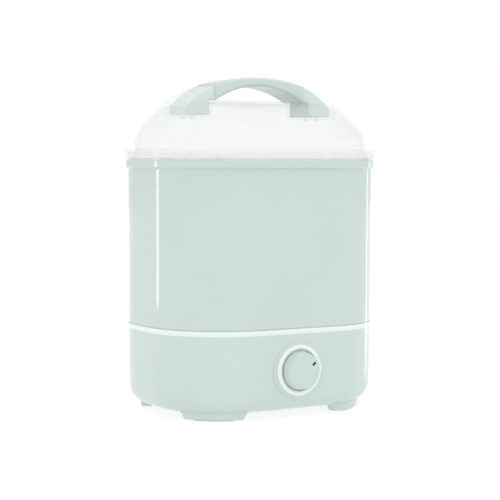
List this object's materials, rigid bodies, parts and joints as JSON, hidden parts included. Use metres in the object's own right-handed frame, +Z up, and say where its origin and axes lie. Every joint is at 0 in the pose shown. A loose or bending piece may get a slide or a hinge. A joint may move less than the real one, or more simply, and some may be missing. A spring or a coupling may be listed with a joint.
{
  "type": "bottle sterilizer",
  "caption": "Electric steriliser and dryer for feeding bottles: knob-timed heater base, tall lift-off chamber, clear domed lid with an arch handle.",
  "frame": {"origin": "bottom centre of the overall box, on the plane the feet rest on; the body's own centre lies 5.25 mm behind it because the knob reaches forward", "axes": "+Z up; -Y out of the front face that carries the knob; +X to the right seen from the front"},
  "size_m": [0.2856, 0.2282, 0.3835],
  "materials": {
    "mint_gloss": "glossy mint-green ABS or PP",
    "pale_gloss": "glossy very pale mint plastic",
    "clear_lid": "clear plastic with a milky look",
    "white_plastic": "white PP",
    "dark_plastic": "black plastic",
    "silicone": "translucent grey silicone",
    "foot_rubber": "grey rubber",
    "stainless": "brushed stainless steel",
    "zinc_steel": "zinc-plated steel",
    "aluminium": "as-extruded aluminium",
    "brass": "plain brass",
    "filter_felt": "white filter felt"
  },
  "bodies": {
    "base": {"base_housing": "mint_gloss", "base_deck": "pale_gloss", "bottom_cover": "mint_gloss", "foot_pads": "foot_rubber", "bottom_screws": "zinc_steel", "heating_plate": "stainless", "plate_seal": "silicone", "plate_nuts": "zinc_steel", "heating_element": "aluminium", "element_terminals": "brass", "heat_shield": "zinc_steel", "thermostat": "dark_plastic", "sensor_clip": "zinc_steel", "thermal_fuse": "white_plastic", "fan_housing": "white_plastic", "fan_motor": "zinc_steel", "fan_screws": "zinc_steel", "air_duct": "white_plastic", "air_heater": "aluminium", "air_outlet_cap": "pale_gloss", "knob_bezel": "pale_gloss", "timer_unit": "white_plastic", "timer_screws": "zinc_steel", "cord_gland": "dark_plastic"},
    "filter": {"filter_cover": "mint_gloss", "filter_pad": "filter_felt"},
    "timer_knob": {"knob": "pale_gloss", "knob_pointer": "dark_plastic", "timer_shaft": "brass"},
    "fan": {"fan_impeller": "dark_plastic", "motor_shaft": "zinc_steel"},
    "chamber": {"chamber": "mint_gloss", "chamber_seal": "silicone"},
    "rack": {"bottle_rack": "white_plastic", "rack_posts": "white_plastic"},
    "tray": {"accessory_tray": "white_plastic"},
    "lid": {"lid": "clear_lid", "lid_seal": "silicone", "handle": "mint_gloss", "handle_screws": "zinc_steel"}
  },
  "joints": [
    {"name": "knob_turn", "type": "hinge", "parent": "base", "child": "timer_knob", "pos_m": [0, -0.1, 0.0548], "axis": [0, -1, 0], "range_deg": [-230, 70]},
    {"name": "fan_spin", "type": "hinge", "parent": "base", "child": "fan", "pos_m": [0.002, 0.05125, 0.04], "axis": [0, 0, 1], "continuous": true},
    {"name": "filter_out", "type": "slide", "parent": "base", "child": "filter", "axis": [0, 1, 0], "range_m": [0, 0.04]},
    {"name": "chamber_lift", "type": "slide", "parent": "base", "child": "chamber", "axis": [0, 0, 1], "range_m": [0, 0.12]},
    {"name": "rack_lift", "type": "slide", "parent": "chamber", "child": "rack", "axis": [0, 0, 1], "range_m": [0, 0.2]},
    {"name": "tray_lift", "type": "slide", "parent": "rack", "child": "tray", "axis": [0, 0, 1], "range_m": [0, 0.08]},
    {"name": "lid_lift", "type": "slide", "parent": "tray", "child": "lid", "axis": [0, 0, 1], "range_m": [0, 0.15]}
  ]
}
